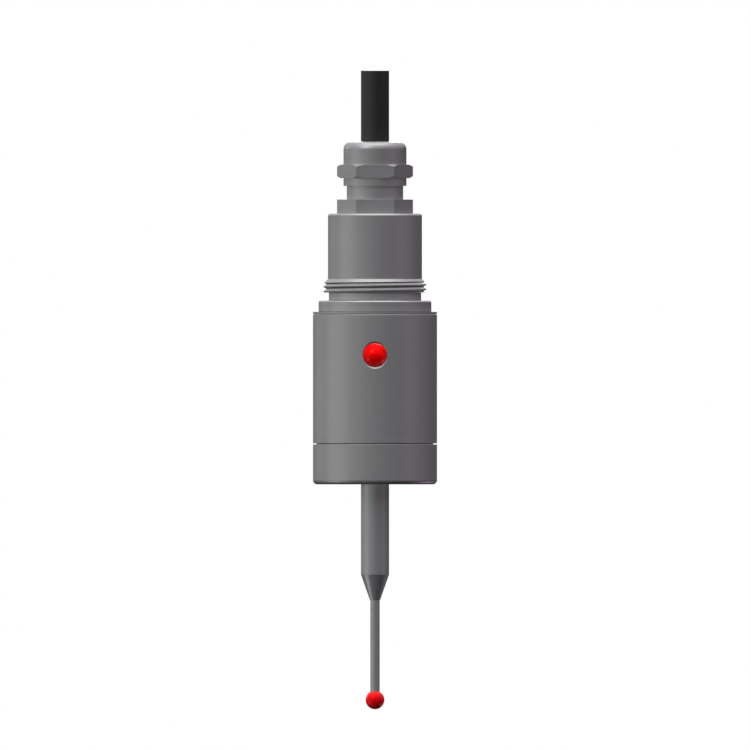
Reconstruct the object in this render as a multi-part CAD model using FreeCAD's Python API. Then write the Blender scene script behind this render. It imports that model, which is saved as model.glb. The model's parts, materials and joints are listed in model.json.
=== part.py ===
import FreeCAD, Part
import math
import os

# A wired touch edge finder for a milling spindle. Lengths are millimetres, +Z points to the cable.
# The origin is on the axis, in the plane of the shoulder that the threaded shank seats against.
# The body hangs below the origin, the shank and the cable stand above it, the lamp faces -Y.
V = FreeCAD.Vector
UP = V(0, 0, 1)
ORIGIN = V(0, 0, 0)

# Shank, thread and shoulder
shank_diameter = 20.0
shank_length = 18.5
shank_wall = 2.5
shank_end_wall = 4.0
shank_chamfer = 0.35
thread_rise = 1.0
thread_depth = 0.61
thread_flank_angle = 30.0
thread_crest_width = 0.125
thread_pitch = 1.0
thread_turns = 4
thread_relief = 1.7
thread_relief_depth = 0.18
thread_length = 2.9
thread_start_z = 0.95
thread_sunk = 0.05
collar_length = 2.4
collar_edge = 0.3

# Body
body_diameter = 26.4
rim_length = 0.4
rim_step = 1.2
rear_spigot_length = 3.2
edge_break = 0.15
shell_edge = 0.25
wall_above_plate = 2.2
wall_below_plate = 2.7
groove_width = 0.25
groove_depth = 0.75
groove_edge = 0.05
front_cap_skirt = 1.45
front_spigot_length = 4.0
front_spigot_wall = 1.8
front_cap_length = 8.5
front_cap_wall = 1.5
front_cap_edge = 0.9
front_cap_opening = 12.8
diaphragm_rim_width = 3.1

# Tilting mechanism
tilt_centre_height = 13.6
stylus_lift = 3.0
stylus_tilt = 8.0
hub_room = 0.6
hub_crown = 2.0
hub_foot_step = 0.3
seat_angle = 42.0
seat_ring_step = 0.5
seat_ring_rise = 0.85
seat_throat_drop = 0.15
seat_throat_land = 0.25
seat_foot_wall = 1.4
platform_height = 4.0
platform_lip = 0.6
platform_lip_width = 1.0
pivot_ball_diameter = 3.0
contact_count = 3
rod_diameter = 2.0
rod_bite = 2.1
rod_tip_room = 0.4
contact_ball_diameter = 2.0
contact_gap = 0.1
carrier_web = 0.6
carrier_rib = 0.3
carrier_slot_width = 3.0
keeper_thickness = 0.6
first_rod_angle = 90.0

# Preload
spring_plate_thickness = 1.8
spring_plate_room = 0.35
adjuster_rise = 0.1
adjuster_edge = 0.3
adjuster_slot_width = 1.0
adjuster_slot_depth = 0.6
adjuster_slot_reach = 1.2
adjuster_slot_count = 4
ring_groove_depth = 0.5
retaining_ring_thickness = 0.7
retaining_ring_width = 1.1
retaining_ring_gap = 4.0
retaining_lug_radius = 1.0
retaining_lug_hole = 0.9
retaining_lug_angle = 17.0
adjuster_step = 0.5
adjuster_height = 3.6
adjuster_wall = 0.8
adjuster_top = 1.2
preload_wire = 0.8
preload_turns = 4
plunger_diameter = 1.8
plunger_top_rise = 1.2
plunger_collar_diameter = 3.8
plunger_collar_height = 0.6
plunger_collar_lift = 1.2
plunger_wire = 0.35
plunger_turns = 5
bush_diameter = 4.8
bush_flange_diameter = 6.4
bush_flange = 0.5
bush_depth = 1.8
plunger_foot_rise = 1.3
plunger_edge = 0.3
plunger_spring_room = 0.15
preload_room = 0.1

# Stylus
holder_diameter = 6.0
holder_proud = 19.2
holder_spigot_room = 0.2
holder_cone_length = 5.4
holder_spigot_diameter = 3.0
holder_spigot_floor = 0.65
stem_diameter = 2.0
stem_seat_depth = 6.0
stem_peg_diameter = 1.2
stem_peg_length = 1.6
stem_peg_root = 0.5
stem_cup = 0.3
ball_diameter = 4.0
stem_proud = 21.25

# Diaphragm
diaphragm_sheet = 0.4
diaphragm_rim = 0.6
diaphragm_clamp = 0.8
diaphragm_drop = 1.6
diaphragm_collar_wall = 0.7
diaphragm_collar_height = 1.6
diaphragm_rim_room = 0.1
diaphragm_fold = 0.2
clamp_ring_room = 0.2
stem_seat_room = 0.1

# Lamp and circuit
lamp_board_room = 0.7
lamp_plate_room = 0.916
lamp_diameter = 5.0
lamp_flange_diameter = 5.8
lamp_flange = 1.0
lamp_adjuster_room = 0.6
lamp_recess = 0.1
lamp_window_chamfer = 0.3
grommet_diameter = 7.8
lead_diameter = 0.5
lead_spacing = 2.54
lead_run = 1.5
lead_bend = 0.9
board_room = 0.8
board_thickness = 1.0
board_screw_angle = 90.0
board_screw_count = 3
wire_diameter = 0.8
wire_inset = 1.0
wire_board_inset = 1.1
wire_angles = (54.0, 126.0)
wire_jog = 5.0
wire_bend = 1.6
wire_room = 0.3
wire_sunk = 2.0
solder_proud = 0.6
chip_width = 3.9
chip_length = 4.9
chip_height = 1.4
chip_standoff = 0.15
chip_legs = 4
chip_pitch = 1.27
leg_reach = 0.9
leg_width = 0.4
leg_height = 0.3
leg_sunk = 0.2
resistor_size = (1.2, 2.0, 0.5)
resistor_places = ((-5.4, 2.0), (-5.4, -1.0), (5.4, 2.0), (5.4, -1.0), (0.0, -3.7))
transistor_size = (2.9, 1.3, 1.0)
transistor_y = 4.7

# Cable gland
gland_across_flats = 14.0
gland_hex_length = 3.0
gland_thread_diameter = 10.0
gland_thread_length = 6.0
gland_neck_diameter = 12.0
gland_neck_length = 2.9
gland_upper_thread_diameter = 11.0
gland_upper_thread_length = 4.1
gland_bore_room = 0.2
seal_seat_diameter = 8.6
seal_seat_sunk = 0.4
nut_diameter = 13.4
nut_skirt_length = 1.64
nut_hex_length = 2.9
nut_dome_length = 4.86
nut_dome_edge = 1.6
nut_hex_chamfer_angle = 30.0
nut_hex_chamfer_diameter = 14.7
nut_cone_start = 0.6
nut_cone_room = 0.9
nut_top_wall = 2.0
seal_height = 4.0
claw_count = 8
claw_slit = 0.5
claw_tip_room = 0.3
claw_tip_wall = 0.5
claw_flange_step = 0.5

# Cable
cable_diameter = 6.0
cable_core_hole = 3.5
cable_proud = 15.1
cable_inside_length = 9.5
cable_hole_room = 0.25
core_bare = 0.4
core_cut_back = 0.15
core_run = 2.0
core_rise = 5.0
core_bend = 3.0
core_diameter = 1.2
core_circle = 2.0
core_count = 4
core_board_circle = 8.0

# Small fasteners
screw_diameter = 1.6
screw_head_diameter = 2.8
screw_head_height = 1.0
screw_bite = 3.0
screw_slot_length = 1.8
screw_slot_width = 0.4
screw_slot_depth = 0.4

# Clearances and seals
fit = 0.05
close_fit = 0.02
seal_groove_depth = 0.6
seal_clearance = 0.01
seal_groove_width = 0.9

# Radii, from the outside in: the housing, then the ball carrier, the rods, the hub and its seat
body_radius = body_diameter / 2
upper_bore_radius = body_radius - wall_above_plate
lower_bore_radius = body_radius - wall_below_plate
cap_bore_radius = body_radius - front_cap_skirt
front_spigot_radius = cap_bore_radius - fit
diaphragm_bore_radius = front_spigot_radius - diaphragm_rim_width
carrier_outer_radius = lower_bore_radius - 2 * fit
rod_tip_radius = carrier_outer_radius - carrier_web - rod_tip_room
contact_ball_radius = contact_ball_diameter / 2
contact_ball_place = rod_tip_radius - contact_ball_radius
carrier_inner_radius = contact_ball_place - contact_ball_radius - carrier_rib
carrier_screw_place = (carrier_inner_radius + carrier_outer_radius) / 2
hub_radius = carrier_inner_radius - hub_room
rod_root_radius = hub_radius - rod_bite
seat_ring_radius = hub_radius + seat_ring_step
adjuster_radius = hub_radius - adjuster_step

# Radii of the shank and of what stands in it
shank_radius = shank_diameter / 2
shank_bore_radius = shank_radius - shank_wall
collar_radius = body_radius - rim_step
thread_crest_radius = shank_radius + thread_rise
thread_root_radius = thread_crest_radius - thread_depth
thread_relief_radius = shank_radius - thread_relief_depth
rear_seal_floor = upper_bore_radius - seal_groove_depth
board_radius = upper_bore_radius - board_room
board_screw_place = (shank_bore_radius + rear_seal_floor) / 2
wire_place = carrier_outer_radius - wire_inset
wire_board_place = shank_bore_radius - wire_board_inset

# The hub's depth below the tilt centre, and the rise of its top corner when it's fully tilted
hub_foot_depth = math.sqrt(hub_radius**2 - (holder_diameter / 2 + hub_foot_step) ** 2)
holder_spigot_length = hub_foot_depth - pivot_ball_diameter / 2 - fit - holder_spigot_floor
corner_tilt = math.acos(math.cos(math.radians(stylus_tilt)) ** 2)
hub_corner_rise = hub_crown * math.cos(corner_tilt) + hub_radius * math.sin(corner_tilt)

# Levels along the axis
collar_end_z = -collar_length
shell_top_z = collar_end_z - rim_length
rear_spigot_end_z = shell_top_z - rear_spigot_length
board_top_z = rear_spigot_end_z
board_base_z = board_top_z - board_thickness
lamp_z = board_base_z - lamp_board_room - grommet_diameter / 2
plate_top_z = lamp_z - grommet_diameter / 2 - lamp_plate_room - retaining_ring_thickness
plate_seat_z = plate_top_z - spring_plate_thickness
tilt_centre_z = plate_seat_z - spring_plate_room - hub_corner_rise - stylus_lift
body_end_z = tilt_centre_z - tilt_centre_height
cap_top_z = body_end_z + front_cap_length
shell_end_z = cap_top_z + groove_width
front_spigot_end_z = cap_top_z - front_spigot_length
shank_end_z = shank_length
thread_end_z = thread_relief + thread_length
seat_contact_z = tilt_centre_z - hub_radius * math.sin(math.radians(seat_angle))
seat_contact_radius = hub_radius * math.cos(math.radians(seat_angle))
hub_foot_z = tilt_centre_z - hub_foot_depth
hub_top_z = tilt_centre_z + hub_crown
platform_top_z = seat_contact_z + seat_ring_rise
platform_end_z = platform_top_z - platform_height
adjuster_base_z = plate_seat_z + adjuster_rise
adjuster_top_z = adjuster_base_z + adjuster_height
spring_top_z = adjuster_top_z - adjuster_top
diaphragm_clamp_end_z = front_spigot_end_z - diaphragm_clamp
diaphragm_ledge_z = diaphragm_clamp_end_z - diaphragm_rim
cap_floor_z = body_end_z + front_cap_wall


def add(name, shape):
    # Writes one node, after joining faces that a boolean has split.
    tidy = shape.removeSplitter()
    if not tidy.isValid():
        raise ValueError(name + " is not a valid shape")
    tidy.exportStep("parts/" + name + ".step")


def rod(radius, low_z, high_z, x=0.0, y=0.0):
    return Part.makeCylinder(radius, high_z - low_z, V(x, y, low_z), UP)


def ring(inner_radius, outer_radius, low_z, high_z):
    return rod(outer_radius, low_z, high_z).cut(rod(inner_radius, low_z - 1, high_z + 1))


def turned(outline):
    # A closed outline of (radius, height) points, turned about the axis.
    points = [V(radius, 0, height) for radius, height in outline]
    face = Part.Face(Part.makePolygon(points + points[:1]))
    return face.revolve(ORIGIN, UP, 360)


def box(centre_x, centre_y, low_z, size_x, size_y, height):
    return Part.makeBox(size_x, size_y, height, V(centre_x - size_x / 2, centre_y - size_y / 2, low_z))


def spun(shape, angle):
    copy = shape.copy()
    copy.rotate(ORIGIN, UP, angle)
    return copy


def around(shape, count, first_angle=0.0):
    # Copies of a shape, evenly spaced about the axis.
    return [spun(shape, first_angle + 360.0 * index / count) for index in range(count)]


def group(shapes):
    return Part.makeCompound(shapes)


def o_ring(floor_radius, wall_radius, height):
    section = (wall_radius - floor_radius) / 2
    return Part.makeTorus(floor_radius + section, section - seal_clearance, V(0, 0, height), UP)


def seal_groove(floor_radius, height):
    return ring(floor_radius, body_radius, height - seal_groove_width / 2, height + seal_groove_width / 2)


def coil(mean_radius, wire, low_z, high_z, turns):
    # A helical wire that touches the planes low_z and high_z.
    height = high_z - low_z - wire
    path = Part.makeLongHelix(height / turns, height, mean_radius)
    start = Part.makeCircle(wire / 2, V(mean_radius, 0, 0), V(0, 1, 0))
    wound = Part.Wire(path).makePipeShell([Part.Wire([start])], True, True)
    wound.translate(V(0, 0, low_z + wire / 2))
    return wound


def bent_rod(points, radius, bend_radius):
    # A round wire along straight runs, joined by arcs that touch both runs.
    edges = []
    start = points[0]
    for corner, after in zip(points[1:-1], points[2:]):
        into = (corner - start).normalize()
        out = (after - corner).normalize()
        turn = into.getAngle(out)
        back = bend_radius * math.tan(turn / 2)
        arc_start = corner - into * back
        arc_end = corner + out * back
        inward = (out - into).normalize()
        rise = bend_radius / math.cos(turn / 2) - bend_radius
        edges.append(Part.LineSegment(start, arc_start).toShape())
        edges.append(Part.Arc(arc_start, corner + inward * rise, arc_end).toShape())
        start = arc_end
    edges.append(Part.LineSegment(start, points[-1]).toShape())
    first = (points[1] - points[0]).normalize()
    profile = Part.Wire([Part.makeCircle(radius, points[0], first)])
    return Part.Wire(edges).makePipeShell([profile], True, True)


def hexagon(across_flats, low_z, high_z):
    # A hexagonal bar with a flat that faces the lamp side.
    corner = across_flats / math.sqrt(3)
    corners = [math.radians(60 * index) for index in range(6)]
    points = [V(corner * math.cos(a), corner * math.sin(a), low_z) for a in corners]
    return Part.Face(Part.makePolygon(points + points[:1])).extrude(V(0, 0, high_z - low_z))


def screw(head_low_z, x, head_up):
    # The head of a small screw that stands at x, with a cross slot.
    head_high_z = head_low_z + screw_head_height
    head = rod(screw_head_diameter / 2, head_low_z, head_high_z, x)
    slot_z = head_high_z - screw_slot_depth if head_up else head_low_z
    slot = box(x, 0, slot_z, screw_slot_length, screw_slot_width, screw_slot_depth)
    cross = box(x, 0, slot_z, screw_slot_width, screw_slot_length, screw_slot_depth)
    return head.cut(slot).cut(cross)


def outer_edges(shape, radius, height):
    # The full circles of one radius at one height.
    found = []
    for edge in shape.Edges:
        box_of = edge.BoundBox
        flat = box_of.ZLength < 0.001 and abs(box_of.ZMin - height) < 0.001
        if flat and abs(box_of.XMax - radius) < 0.001 and abs(box_of.XMin + radius) < 0.001:
            found.append(edge)
    return found


def broken(shape, radius, height, size=edge_break):
    return shape.makeChamfer(size, outer_edges(shape, radius, height))


# Front cap
def front_cap():
    cap = turned([
        (front_cap_opening / 2, body_end_z),
        (body_radius, body_end_z),
        (body_radius, cap_top_z),
        (cap_bore_radius, cap_top_z),
        (cap_bore_radius, diaphragm_ledge_z),
        (diaphragm_bore_radius, diaphragm_ledge_z),
        (diaphragm_bore_radius, cap_floor_z),
        (front_cap_opening / 2, cap_floor_z),
    ])
    cap = cap.makeFillet(front_cap_edge, outer_edges(cap, body_radius, body_end_z))
    cap = broken(cap, body_radius, cap_top_z, groove_edge)
    return broken(cap, front_cap_opening / 2, body_end_z, 2 * edge_break)


# Main housing, with the platform that carries the mechanism
front_seal_z = (cap_top_z + platform_end_z) / 2
front_seal_floor = front_spigot_radius - seal_groove_depth


def screw_circle_tool(radius, low_z, high_z):
    tool = rod(radius, low_z, high_z, carrier_screw_place)
    return around(tool, contact_count, first_rod_angle + 180 / contact_count)


def board_screw_tool(radius, low_z, high_z):
    tool = rod(radius, low_z, high_z, board_screw_place)
    return around(tool, board_screw_count, board_screw_angle)


def lamp_window():
    bore_radius = lamp_diameter / 2 + 2 * fit
    sink_depth = 2 * lamp_window_chamfer
    sink_start = V(0, lamp_window_chamfer - body_radius, lamp_z)
    bore = Part.makeCylinder(bore_radius, body_radius + 1, V(0, 0, lamp_z), V(0, -1, 0))
    sink = Part.makeCone(bore_radius, bore_radius + sink_depth, sink_depth, sink_start, V(0, -1, 0))
    return bore.fuse(sink)


def main_housing():
    land_radius = body_radius - groove_depth
    seat_radius = seat_ring_radius + fit
    opening_radius = seat_ring_radius - platform_lip_width
    skirt_bore = front_spigot_radius - front_spigot_wall
    shell = turned([
        (body_radius, shell_top_z),
        (upper_bore_radius, shell_top_z),
        (upper_bore_radius, plate_seat_z),
        (lower_bore_radius, plate_seat_z),
        (lower_bore_radius, platform_top_z),
        (seat_radius, platform_top_z),
        (seat_radius, platform_end_z + platform_lip),
        (opening_radius, platform_end_z + platform_lip),
        (opening_radius, platform_end_z),
        (skirt_bore, platform_end_z),
        (skirt_bore, front_spigot_end_z),
        (front_spigot_radius, front_spigot_end_z),
        (front_spigot_radius, cap_top_z),
        (land_radius, cap_top_z),
        (land_radius, shell_end_z),
        (body_radius, shell_end_z),
    ])
    shell = broken(shell, body_radius, shell_top_z, shell_edge)
    shell = broken(shell, body_radius, shell_end_z, groove_edge)
    shell = shell.cut(seal_groove(front_seal_floor, front_seal_z))
    ring_groove_top_z = plate_top_z + retaining_ring_thickness + fit
    shell = shell.cut(rod(upper_bore_radius + ring_groove_depth, plate_top_z, ring_groove_top_z))
    for hole in screw_circle_tool(screw_diameter / 2, platform_top_z - screw_bite, platform_top_z + 1):
        shell = shell.cut(hole)
    return shell.cut(lamp_window())


# Rear housing: collar, threaded shank and the spigot that carries the circuit board
rear_seal_z = shell_top_z - rear_spigot_length / 2


def thread_sleeve():
    # A right-handed ridge with a flat crest, fused to a plain blank that is longer than the thread.
    # The blank is then cut off square at both ends of the thread and bored out.
    root = thread_root_radius
    crest = thread_crest_radius
    half_crest = thread_crest_width / 2
    half_foot = half_crest + (crest - root + thread_sunk) * math.tan(math.radians(thread_flank_angle))
    path = Part.makeHelix(thread_pitch, thread_pitch * thread_turns, root)
    outline = [
        V(root - thread_sunk, 0, -half_foot),
        V(crest, 0, -half_crest),
        V(crest, 0, half_crest),
        V(root - thread_sunk, 0, half_foot),
    ]
    ridge = Part.Wire(path).makePipeShell([Part.makePolygon(outline + outline[:1])], True, True)
    ridge.rotate(ORIGIN, UP, 180)
    ridge.translate(V(0, 0, thread_start_z))
    blank_end_z = thread_start_z + thread_pitch * thread_turns + 1
    sleeve = rod(root, thread_start_z - 1, blank_end_z).fuse(ridge)
    sleeve = sleeve.common(rod(crest + 1, thread_relief, thread_end_z))
    return sleeve.cut(rod(shank_bore_radius + 1, thread_start_z - 1, blank_end_z))


def thread_chamfer_tool():
    # What the chamfer at the thread's upper end takes off, down to the plain shank.
    reach = thread_rise + 1
    return turned([
        (shank_radius, thread_end_z),
        (shank_radius + reach, thread_end_z),
        (shank_radius + reach, thread_end_z - reach),
    ])


def rear_housing():
    body = turned([
        (shank_bore_radius, rear_spigot_end_z),
        (upper_bore_radius - fit, rear_spigot_end_z),
        (upper_bore_radius - fit, shell_top_z),
        (body_radius, shell_top_z),
        (body_radius, collar_end_z),
        (collar_radius, collar_end_z),
        (collar_radius, 0),
        (thread_relief_radius, 0),
        (thread_relief_radius, thread_relief),
        (thread_root_radius, thread_relief),
        (thread_root_radius, thread_end_z),
        (shank_radius, thread_end_z),
        (shank_radius, shank_end_z - shank_chamfer),
        (shank_radius - shank_chamfer, shank_end_z),
        (gland_thread_diameter / 2 + fit, shank_end_z),
        (gland_thread_diameter / 2 + fit, shank_end_z - shank_end_wall),
        (shank_bore_radius, shank_end_z - shank_end_wall),
    ])
    # On a body that is hardly wider than the shank, the collar's edge keeps half of its face.
    body = broken(body, collar_radius, 0, min(collar_edge, (collar_radius - thread_relief_radius) / 2))
    body = body.cut(seal_groove(rear_seal_floor, rear_seal_z))
    hole_end_z = rear_spigot_end_z + screw_bite
    for hole in board_screw_tool(screw_diameter / 2, rear_spigot_end_z - 1, hole_end_z):
        body = body.cut(hole)
    return body.fuse(thread_sleeve()).cut(thread_chamfer_tool())


# Seat ring: a cone that the spherical hub rests in, flared below for the tilted stylus
def seat_ring():
    slope = math.tan(math.radians(seat_angle))
    gap = fit / math.cos(math.radians(90 - seat_angle))
    face_radius = seat_contact_radius + gap
    throat_z = seat_contact_z - seat_throat_drop
    low_z = platform_end_z + platform_lip + fit
    return turned([
        (face_radius + (platform_top_z - seat_contact_z) * slope, platform_top_z),
        (seat_ring_radius, platform_top_z),
        (seat_ring_radius, low_z),
        (seat_ring_radius - seat_foot_wall, low_z),
        (face_radius - (seat_contact_z - throat_z) * slope, throat_z - seat_throat_land),
        (face_radius - (seat_contact_z - throat_z) * slope, throat_z),
    ])


# Ball carrier and contact balls
carrier_top_z = tilt_centre_z + contact_ball_radius + fit
ball_side = rod_diameter / 2 + contact_ball_radius + contact_gap


def slot_tool(low_z, high_z):
    length = rod_tip_radius + rod_tip_room
    return Part.makeBox(length, carrier_slot_width, high_z - low_z, V(0, -carrier_slot_width / 2, low_z))


def wire_tool(radius, low_z, high_z, place=wire_place):
    return [spun(rod(radius, low_z, high_z, place), angle) for angle in wire_angles]


def ball_carrier():
    body = ring(carrier_inner_radius, carrier_outer_radius, platform_top_z, carrier_top_z)
    pocket_floor_z = tilt_centre_z - contact_ball_radius - close_fit
    for slot in around(slot_tool(platform_top_z - 1, carrier_top_z + 1), contact_count, first_rod_angle):
        body = body.cut(slot)
    for side in (-1, 1):
        pocket = rod(
            contact_ball_radius + close_fit,
            pocket_floor_z,
            carrier_top_z + 1,
            contact_ball_place,
            side * ball_side,
        )
        for tool in around(pocket, contact_count, first_rod_angle):
            body = body.cut(tool)
    for tool in screw_circle_tool(screw_diameter / 2 + fit, platform_top_z - 1, carrier_top_z + 1):
        body = body.cut(tool)
    for tool in wire_tool(wire_diameter / 2 + close_fit, carrier_top_z - wire_sunk, carrier_top_z + 1):
        body = body.cut(tool)
    return body


def contact_balls():
    balls = []
    for side in (-1, 1):
        centre = V(contact_ball_place, side * ball_side, tilt_centre_z)
        ball = Part.makeSphere(contact_ball_radius, centre)
        balls += around(ball, contact_count, first_rod_angle)
    return group(balls)


def ball_keeper():
    top_z = carrier_top_z + keeper_thickness
    plate = ring(carrier_inner_radius, carrier_outer_radius, carrier_top_z, top_z)
    for slot in around(slot_tool(carrier_top_z - 1, top_z + 1), contact_count, first_rod_angle):
        plate = plate.cut(slot)
    for tool in screw_circle_tool(screw_diameter / 2 + fit, carrier_top_z - 1, top_z + 1):
        plate = plate.cut(tool)
    for tool in wire_tool(wire_diameter / 2 + close_fit, carrier_top_z - 1, top_z + 1):
        plate = plate.cut(tool)
    return plate


def carrier_screws():
    head_z = carrier_top_z + keeper_thickness
    point_z = platform_top_z - screw_bite + fit
    shank = rod(screw_diameter / 2 - close_fit, point_z, head_z, carrier_screw_place)
    one = screw(head_z, carrier_screw_place, True).fuse(shank)
    return group(around(one, contact_count, first_rod_angle + 180 / contact_count))


# Diaphragm and its clamp ring
def clamp_ring():
    inner = diaphragm_bore_radius + clamp_ring_room
    return ring(inner, cap_bore_radius - fit, diaphragm_clamp_end_z, front_spigot_end_z)


def seal_diaphragm():
    rim_inner = diaphragm_bore_radius + diaphragm_rim_room
    collar_inner = holder_diameter / 2 + close_fit
    collar_outer = collar_inner + diaphragm_collar_wall
    web_top = diaphragm_ledge_z + (diaphragm_rim + diaphragm_sheet) / 2
    web_low = web_top - diaphragm_drop
    return turned([
        (cap_bore_radius - fit, diaphragm_ledge_z),
        (cap_bore_radius - fit, diaphragm_clamp_end_z),
        (rim_inner, diaphragm_clamp_end_z),
        (rim_inner - diaphragm_fold, web_top),
        (collar_outer, web_low),
        (collar_outer, web_low + diaphragm_collar_height / 2),
        (collar_inner, web_low + diaphragm_collar_height / 2),
        (collar_inner, web_low - diaphragm_collar_height / 2),
        (collar_outer, web_low - diaphragm_collar_height / 2),
        (collar_outer, web_low - diaphragm_sheet),
        (rim_inner - diaphragm_fold, web_top - diaphragm_sheet),
        (rim_inner, diaphragm_ledge_z),
    ])


# Spring plate, retaining ring, adjuster, bush and springs
def spring_plate():
    plate = ring(adjuster_radius + fit, upper_bore_radius - fit, plate_seat_z, plate_top_z)
    for tool in wire_tool(wire_diameter / 2 + wire_room, plate_seat_z - 1, plate_top_z + 1):
        plate = plate.cut(tool)
    return plate


def retaining_ring():
    outer = upper_bore_radius + ring_groove_depth - fit
    inner = upper_bore_radius - retaining_ring_width
    low_z = plate_top_z + fit / 2
    high_z = low_z + retaining_ring_thickness - fit / 2
    clip = ring(inner, outer, low_z, high_z)
    clip = clip.cut(box(0, outer, low_z - 1, retaining_ring_gap, inner, retaining_ring_thickness + 2))
    for side in (-1, 1):
        lug_angle = 90 + side * retaining_lug_angle
        lug = spun(rod(retaining_lug_radius, low_z, high_z, inner), lug_angle)
        hole = spun(rod(retaining_lug_hole / 2, low_z - 1, high_z + 1, inner), lug_angle)
        clip = clip.fuse(lug).cut(hole)
    return clip


def preload_adjuster():
    radius = adjuster_radius
    cup = turned([
        (bush_diameter / 2 + close_fit, adjuster_top_z),
        (radius - adjuster_edge, adjuster_top_z),
        (radius, adjuster_top_z - adjuster_edge),
        (radius, adjuster_base_z),
        (radius - adjuster_wall, adjuster_base_z),
        (radius - adjuster_wall, spring_top_z),
        (bush_diameter / 2 + close_fit, spring_top_z),
    ])
    slot_z = adjuster_top_z - adjuster_slot_depth
    slot = box(radius, 0, slot_z, 2 * adjuster_slot_reach, adjuster_slot_width, 1)
    for tool in around(slot, adjuster_slot_count, 180 / adjuster_slot_count):
        cup = cup.cut(tool)
    return cup


def guide_bush():
    low_z = adjuster_top_z - bush_depth
    high_z = adjuster_top_z + bush_flange
    sleeve = rod(bush_diameter / 2, low_z, high_z)
    sleeve = sleeve.fuse(rod(bush_flange_diameter / 2, adjuster_top_z, high_z))
    return sleeve.cut(rod(plunger_diameter / 2 + fit, low_z - 1, high_z + 1))


plunger_end_z = tilt_centre_z + plunger_foot_rise
plunger_collar_z = plunger_end_z + plunger_collar_lift
plunger_collar_top_z = plunger_collar_z + plunger_collar_height
bush_end_z = adjuster_top_z - bush_depth


def centre_plunger():
    top_z = adjuster_top_z + bush_flange + plunger_top_rise
    pin = rod(plunger_diameter / 2, plunger_end_z, top_z)
    pin = broken(pin, plunger_diameter / 2, top_z, plunger_edge)
    collar = rod(plunger_collar_diameter / 2, plunger_collar_z, plunger_collar_top_z)
    cup = Part.makeSphere(pivot_ball_diameter / 2 + fit, V(0, 0, tilt_centre_z))
    return pin.fuse(collar).cut(cup)


def pivot_ball():
    return Part.makeSphere(pivot_ball_diameter / 2, V(0, 0, tilt_centre_z))


def preload_spring():
    mean_radius = adjuster_radius - adjuster_wall - preload_room - preload_wire / 2
    return coil(mean_radius, preload_wire, hub_top_z, spring_top_z, preload_turns)


def plunger_spring():
    mean_radius = plunger_diameter / 2 + plunger_spring_room + plunger_wire / 2
    return coil(mean_radius, plunger_wire, plunger_collar_top_z, bush_end_z, plunger_turns)


# Hub, rods and stylus
def stylus_hub():
    ball = Part.makeSphere(hub_radius, V(0, 0, tilt_centre_z))
    lower = ball.common(rod(hub_radius + 1, hub_foot_z, tilt_centre_z))
    hub = lower.fuse(rod(hub_radius, tilt_centre_z, hub_top_z))
    hub = broken(hub, hub_radius, hub_top_z, 2 * edge_break)
    pocket_radius = pivot_ball_diameter / 2 + fit
    mouth = Part.makeCone(pocket_radius, pocket_radius + hub_crown, hub_crown, V(0, 0, tilt_centre_z), UP)
    hub = hub.cut(Part.makeSphere(pocket_radius, V(0, 0, tilt_centre_z)).fuse(mouth))
    hole_start = V(rod_root_radius - close_fit, 0, tilt_centre_z)
    hole = Part.makeCylinder(rod_diameter / 2 + close_fit, hub_radius, hole_start, V(1, 0, 0))
    for tool in around(hole, contact_count, first_rod_angle):
        hub = hub.cut(tool)
    spigot_radius = holder_spigot_diameter / 2 + close_fit
    return hub.cut(rod(spigot_radius, hub_foot_z - 1, hub_foot_z + holder_spigot_length))


def contact_rod(index):
    length = rod_tip_radius - rod_root_radius
    bar = Part.makeCylinder(rod_diameter / 2, length, V(rod_root_radius, 0, tilt_centre_z), V(1, 0, 0))
    return spun(bar, first_rod_angle + 360.0 * index / contact_count)


holder_end_z = body_end_z - holder_proud
stem_seat_z = holder_end_z - holder_cone_length
ball_centre_z = stem_seat_z - stem_proud
stem_top_z = stem_seat_z + stem_seat_depth
stem_end_z = ball_centre_z + math.sqrt(ball_diameter**2 - stem_diameter**2) / 2


def stylus_holder():
    radius = holder_diameter / 2
    body = turned([
        (0, stem_top_z + close_fit),
        (stem_diameter / 2 + close_fit, stem_top_z + close_fit),
        (stem_diameter / 2 + close_fit, stem_seat_z),
        (stem_diameter / 2 + stem_seat_room, stem_seat_z),
        (radius, holder_end_z),
        (radius, hub_foot_z),
        (holder_spigot_diameter / 2, hub_foot_z),
        (holder_spigot_diameter / 2, hub_foot_z + holder_spigot_length - holder_spigot_room),
        (0, hub_foot_z + holder_spigot_length - holder_spigot_room),
    ])
    return body


def stylus_stem():
    stem = rod(stem_diameter / 2, stem_end_z - stem_cup, stem_top_z)
    stem = stem.cut(Part.makeSphere(ball_diameter / 2, V(0, 0, ball_centre_z)))
    return stem.fuse(rod(stem_peg_diameter / 2, stem_end_z - stem_peg_length, stem_end_z + stem_peg_root))


def stylus_ball():
    ball = Part.makeSphere(ball_diameter / 2, V(0, 0, ball_centre_z))
    return ball.cut(rod(stem_peg_diameter / 2 + close_fit, stem_end_z - stem_peg_length - close_fit, 0))


# Circuit board and what is soldered to it
def lead_places():
    y = lamp_base_y + lead_run
    return [(side * lead_spacing / 2, y) for side in (-1, 1)]


lamp_tip_y = -body_radius + lamp_recess
lamp_base_y = -adjuster_radius - lamp_adjuster_room
core_board_angles = [360 * (index + 0.5) / core_count for index in range(core_count)]


def circuit_board():
    board = rod(board_radius, board_base_z, board_top_z)
    for x, y in lead_places():
        board = board.cut(rod(lead_diameter / 2 + close_fit, board_base_z - 1, board_top_z + 1, x, y))
    for tool in board_screw_tool(screw_diameter / 2 + fit, board_base_z - 1, board_top_z + 1):
        board = board.cut(tool)
    core_hole = core_diameter / 2 + close_fit
    for angle in core_board_angles:
        tool = rod(core_hole, board_base_z - 1, board_top_z + 1, core_board_circle / 2)
        board = board.cut(spun(tool, angle))
    wire_hole = wire_diameter / 2 + close_fit
    for tool in wire_tool(wire_hole, board_base_z - 1, board_top_z + 1, wire_board_place):
        board = board.cut(tool)
    return board


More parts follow.
